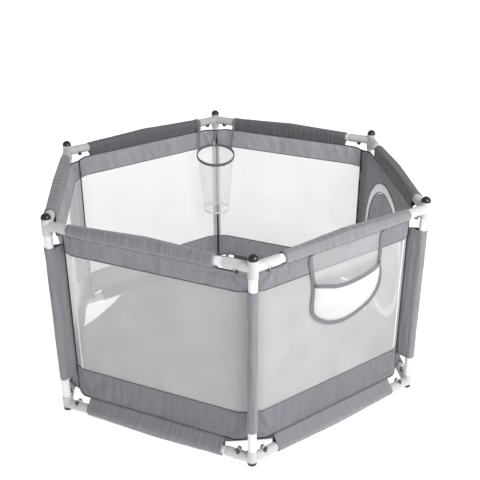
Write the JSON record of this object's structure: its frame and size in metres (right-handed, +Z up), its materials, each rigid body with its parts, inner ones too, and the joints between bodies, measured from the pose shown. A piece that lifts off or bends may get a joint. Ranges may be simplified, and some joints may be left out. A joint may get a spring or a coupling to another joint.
{
  "type": "playpen",
  "caption": "Folding six-sided playpen: hinged tube rails, grey fabric and net walls, fabric floor, round zip door, pocket and ball hoop.",
  "frame": {"origin": "middle of the six posts, on the floor the feet stand on", "axes": "+Z up; the front post is on -Y and the walls ef and bc face +X and -X"},
  "size_m": [1.1048, 1.271, 0.66],
  "materials": {
    "tube": "white painted steel tube, satin",
    "moulding": "cream white moulded plastic, satin",
    "cap": "glossy black plastic cap and black rubber foot",
    "grey_fabric": "grey woven polyester with white net panels",
    "solid_fabric": "grey woven polyester with a cream zip tape",
    "floor_fabric": "grey coated woven polyester",
    "net": "white net with grey binding",
    "zip_metal": "dark lacquered zip slider"
  },
  "bodies": {
    "post_a": {"post_a": "tube", "top_hub_a": "moulding", "bottom_hub_a": "moulding", "end_caps_a": "cap", "wall_ab": "grey_fabric", "floor": "floor_fabric"},
    "post_b": {"post_b": "tube", "top_hub_b": "moulding", "bottom_hub_b": "moulding", "end_caps_b": "cap", "wall_bc": "grey_fabric"},
    "post_c": {"post_c": "tube", "top_hub_c": "moulding", "bottom_hub_c": "moulding", "end_caps_c": "cap", "wall_cd": "grey_fabric"},
    "post_d": {"post_d": "tube", "top_hub_d": "moulding", "bottom_hub_d": "moulding", "end_caps_d": "cap", "wall_de": "grey_fabric", "hoop_ring": "grey_fabric", "hoop_net": "net"},
    "post_e": {"post_e": "tube", "top_hub_e": "moulding", "bottom_hub_e": "moulding", "end_caps_e": "cap", "wall_ef": "solid_fabric"},
    "post_f": {"post_f": "tube", "top_hub_f": "moulding", "bottom_hub_f": "moulding", "end_caps_f": "cap", "wall_fa": "grey_fabric", "pocket": "net"},
    "top_rail_ab_a": {"top_rail_ab_a": "tube"},
    "top_rail_ab_b": {"top_rail_ab_b": "tube"},
    "top_rail_bc_b": {"top_rail_bc_b": "tube"},
    "top_rail_bc_c": {"top_rail_bc_c": "tube"},
    "top_rail_cd_c": {"top_rail_cd_c": "tube"},
    "top_rail_cd_d": {"top_rail_cd_d": "tube"},
    "top_rail_de_d": {"top_rail_de_d": "tube"},
    "top_rail_de_e": {"top_rail_de_e": "tube"},
    "top_rail_ef_e": {"top_rail_ef_e": "tube"},
    "top_rail_ef_f": {"top_rail_ef_f": "tube"},
    "top_rail_fa_f": {"top_rail_fa_f": "tube"},
    "top_rail_fa_a": {"top_rail_fa_a": "tube"},
    "bottom_rail_ab_a": {"bottom_rail_ab_a": "tube"},
    "bottom_rail_ab_b": {"bottom_rail_ab_b": "tube"},
    "bottom_rail_bc_b": {"bottom_rail_bc_b": "tube"},
    "bottom_rail_bc_c": {"bottom_rail_bc_c": "tube"},
    "bottom_rail_cd_c": {"bottom_rail_cd_c": "tube"},
    "bottom_rail_cd_d": {"bottom_rail_cd_d": "tube"},
    "bottom_rail_de_d": {"bottom_rail_de_d": "tube"},
    "bottom_rail_de_e": {"bottom_rail_de_e": "tube"},
    "bottom_rail_ef_e": {"bottom_rail_ef_e": "tube"},
    "bottom_rail_ef_f": {"bottom_rail_ef_f": "tube"},
    "bottom_rail_fa_f": {"bottom_rail_fa_f": "tube"},
    "bottom_rail_fa_a": {"bottom_rail_fa_a": "tube"},
    "door": {"door_flap": "solid_fabric"},
    "zip_slider": {"zip_slider": "zip_metal"}
  },
  "joints": [
    {"name": "fold", "type": "hinge", "parent": "post_a", "child": "top_rail_ab_a", "pos_m": [-0.03637, -0.599, 0.609], "axis": [-0.5, -0.866, 0], "range_deg": [0, 90], "deforming": ["wall_ab", "wall_bc", "wall_cd", "wall_de", "wall_ef", "wall_fa", "floor", "pocket", "hoop_ring", "hoop_net", "door_flap", "zip_slider"]},
    {"name": "fold_top_ab_middle", "type": "hinge", "parent": "top_rail_ab_a", "child": "top_rail_ab_b", "pos_m": [-0.26847, -0.465, 0.638], "axis": [-0.5, -0.866, 0], "range_deg": [-180, 0]},
    {"name": "fold_top_ab_b", "type": "hinge", "parent": "top_rail_ab_b", "child": "post_b", "pos_m": [-0.50056, -0.331, 0.609], "axis": [-0.5, -0.866, 0], "range_deg": [0, 90]},
    {"name": "fold_top_bc_b", "type": "hinge", "parent": "post_b", "child": "top_rail_bc_b", "pos_m": [-0.53694, -0.268, 0.609], "axis": [-1, 0, 0], "range_deg": [0, 90]},
    {"name": "fold_top_bc_middle", "type": "hinge", "parent": "top_rail_bc_b", "child": "top_rail_bc_c", "pos_m": [-0.53694, 0, 0.638], "axis": [-1, 0, 0], "range_deg": [-180, 0]},
    {"name": "fold_top_bc_c", "type": "hinge", "parent": "top_rail_bc_c", "child": "post_c", "pos_m": [-0.53694, 0.268, 0.609], "axis": [-1, 0, 0], "range_deg": [0, 90]},
    {"name": "fold_top_cd_c", "type": "hinge", "parent": "post_c", "child": "top_rail_cd_c", "pos_m": [-0.50056, 0.331, 0.609], "axis": [-0.5, 0.866, 0], "range_deg": [0, 90]},
    {"name": "fold_top_cd_middle", "type": "hinge", "parent": "top_rail_cd_c", "child": "top_rail_cd_d", "pos_m": [-0.26847, 0.465, 0.638], "axis": [-0.5, 0.866, 0], "range_deg": [-180, 0]},
    {"name": "fold_top_cd_d", "type": "hinge", "parent": "top_rail_cd_d", "child": "post_d", "pos_m": [-0.03637, 0.599, 0.609], "axis": [-0.5, 0.866, 0], "range_deg": [0, 90]},
    {"name": "fold_top_fa_a", "type": "hinge", "parent": "post_a", "child": "top_rail_fa_a", "pos_m": [0.03637, -0.599, 0.609], "axis": [-0.5, 0.866, 0], "range_deg": [0, 90]},
    {"name": "fold_top_fa_middle", "type": "hinge", "parent": "top_rail_fa_a", "child": "top_rail_fa_f", "pos_m": [0.26847, -0.465, 0.638], "axis": [-0.5, 0.866, 0], "range_deg": [-180, 0]},
    {"name": "fold_top_fa_f", "type": "hinge", "parent": "top_rail_fa_f", "child": "post_f", "pos_m": [0.50056, -0.331, 0.609], "axis": [-0.5, 0.866, 0], "range_deg": [0, 90]},
    {"name": "fold_top_ef_f", "type": "hinge", "parent": "post_f", "child": "top_rail_ef_f", "pos_m": [0.53694, -0.268, 0.609], "axis": [-1, 0, 0], "range_deg": [0, 90]},
    {"name": "fold_top_ef_middle", "type": "hinge", "parent": "top_rail_ef_f", "child": "top_rail_ef_e", "pos_m": [0.53694, 0, 0.638], "axis": [-1, 0, 0], "range_deg": [-180, 0]},
    {"name": "fold_top_ef_e", "type": "hinge", "parent": "top_rail_ef_e", "child": "post_e", "pos_m": [0.53694, 0.268, 0.609], "axis": [-1, 0, 0], "range_deg": [0, 90]},
    {"name": "fold_top_de_d", "type": "hinge", "parent": "post_d", "child": "top_rail_de_d", "pos_m": [0.03637, 0.599, 0.609], "axis": [0.5, 0.866, 0], "range_deg": [0, 90]},
    {"name": "fold_top_de_e", "type": "hinge", "parent": "post_e", "child": "top_rail_de_e", "pos_m": [0.50056, 0.331, 0.609], "axis": [-0.5, -0.866, 0], "range_deg": [0, 90]},
    {"name": "fold_bottom_ab_a", "type": "hinge", "parent": "post_a", "child": "bottom_rail_ab_a", "pos_m": [-0.03637, -0.599, 0.0356], "axis": [0.5, 0.866, 0], "range_deg": [0, 90]},
    {"name": "fold_bottom_ab_b", "type": "hinge", "parent": "post_b", "child": "bottom_rail_ab_b", "pos_m": [-0.50056, -0.331, 0.0356], "axis": [-0.5, -0.866, 0], "range_deg": [0, 90]},
    {"name": "fold_bottom_bc_b", "type": "hinge", "parent": "post_b", "child": "bottom_rail_bc_b", "pos_m": [-0.53694, -0.268, 0.0356], "axis": [1, 0, 0], "range_deg": [0, 90]},
    {"name": "fold_bottom_bc_c", "type": "hinge", "parent": "post_c", "child": "bottom_rail_bc_c", "pos_m": [-0.53694, 0.268, 0.0356], "axis": [-1, 0, 0], "range_deg": [0, 90]},
    {"name": "fold_bottom_cd_c", "type": "hinge", "parent": "post_c", "child": "bottom_rail_cd_c", "pos_m": [-0.50056, 0.331, 0.0356], "axis": [0.5, -0.866, 0], "range_deg": [0, 90]},
    {"name": "fold_bottom_cd_d", "type": "hinge", "parent": "post_d", "child": "bottom_rail_cd_d", "pos_m": [-0.03637, 0.599, 0.0356], "axis": [-0.5, 0.866, 0], "range_deg": [0, 90]},
    {"name": "fold_bottom_de_d", "type": "hinge", "parent": "post_d", "child": "bottom_rail_de_d", "pos_m": [0.03637, 0.599, 0.0356], "axis": [-0.5, -0.866, 0], "range_deg": [0, 90]},
    {"name": "fold_bottom_de_e", "type": "hinge", "parent": "post_e", "child": "bottom_rail_de_e", "pos_m": [0.50056, 0.331, 0.0356], "axis": [0.5, 0.866, 0], "range_deg": [0, 90]},
    {"name": "fold_bottom_ef_e", "type": "hinge", "parent": "post_e", "child": "bottom_rail_ef_e", "pos_m": [0.53694, 0.268, 0.0356], "axis": [-1, 0, 0], "range_deg": [0, 90]},
    {"name": "fold_bottom_ef_f", "type": "hinge", "parent": "post_f", "child": "bottom_rail_ef_f", "pos_m": [0.53694, -0.268, 0.0356], "axis": [1, 0, 0], "range_deg": [0, 90]},
    {"name": "fold_bottom_fa_f", "type": "hinge", "parent": "post_f", "child": "bottom_rail_fa_f", "pos_m": [0.50056, -0.331, 0.0356], "axis": [-0.5, 0.866, 0], "range_deg": [0, 90]},
    {"name": "fold_bottom_fa_a", "type": "hinge", "parent": "post_a", "child": "bottom_rail_fa_a", "pos_m": [0.03637, -0.599, 0.0356], "axis": [0.5, -0.866, 0], "range_deg": [0, 90]},
    {"name": "door_swing", "type": "hinge", "parent": "post_e", "child": "door", "pos_m": [0.51544, 0, 0.1426], "axis": [0, 1, 0], "range_deg": [0, 110]},
    {"name": "zip_run", "type": "hinge", "parent": "post_e", "child": "zip_slider", "pos_m": [0.51294, 0, 0.336], "axis": [1, 0, 0], "range_deg": [0, 280]}
  ],
  "couplings": [
    {"joint": "fold_top_ab_middle", "follows": "fold", "ratio": -2},
    {"joint": "fold_top_ab_b", "follows": "fold", "ratio": 1},
    {"joint": "fold_top_bc_b", "follows": "fold", "ratio": 1},
    {"joint": "fold_top_bc_middle", "follows": "fold", "ratio": -2},
    {"joint": "fold_top_bc_c", "follows": "fold", "ratio": 1},
    {"joint": "fold_top_cd_c", "follows": "fold", "ratio": 1},
    {"joint": "fold_top_cd_middle", "follows": "fold", "ratio": -2},
    {"joint": "fold_top_cd_d", "follows": "fold", "ratio": 1},
    {"joint": "fold_top_fa_a", "follows": "fold", "ratio": 1},
    {"joint": "fold_top_fa_middle", "follows": "fold", "ratio": -2},
    {"joint": "fold_top_fa_f", "follows": "fold", "ratio": 1},
    {"joint": "fold_top_ef_f", "follows": "fold", "ratio": 1},
    {"joint": "fold_top_ef_middle", "follows": "fold", "ratio": -2},
    {"joint": "fold_top_ef_e", "follows": "fold", "ratio": 1},
    {"joint": "fold_top_de_d", "follows": "fold", "ratio": 1},
    {"joint": "fold_top_de_e", "follows": "fold", "ratio": 1},
    {"joint": "fold_bottom_ab_a", "follows": "fold", "ratio": 1},
    {"joint": "fold_bottom_ab_b", "follows": "fold", "ratio": 1},
    {"joint": "fold_bottom_bc_b", "follows": "fold", "ratio": 1},
    {"joint": "fold_bottom_bc_c", "follows": "fold", "ratio": 1},
    {"joint": "fold_bottom_cd_c", "follows": "fold", "ratio": 1},
    {"joint": "fold_bottom_cd_d", "follows": "fold", "ratio": 1},
    {"joint": "fold_bottom_de_d", "follows": "fold", "ratio": 1},
    {"joint": "fold_bottom_de_e", "follows": "fold", "ratio": 1},
    {"joint": "fold_bottom_ef_e", "follows": "fold", "ratio": 1},
    {"joint": "fold_bottom_ef_f", "follows": "fold", "ratio": 1},
    {"joint": "fold_bottom_fa_f", "follows": "fold", "ratio": 1},
    {"joint": "fold_bottom_fa_a", "follows": "fold", "ratio": 1}
  ]
}
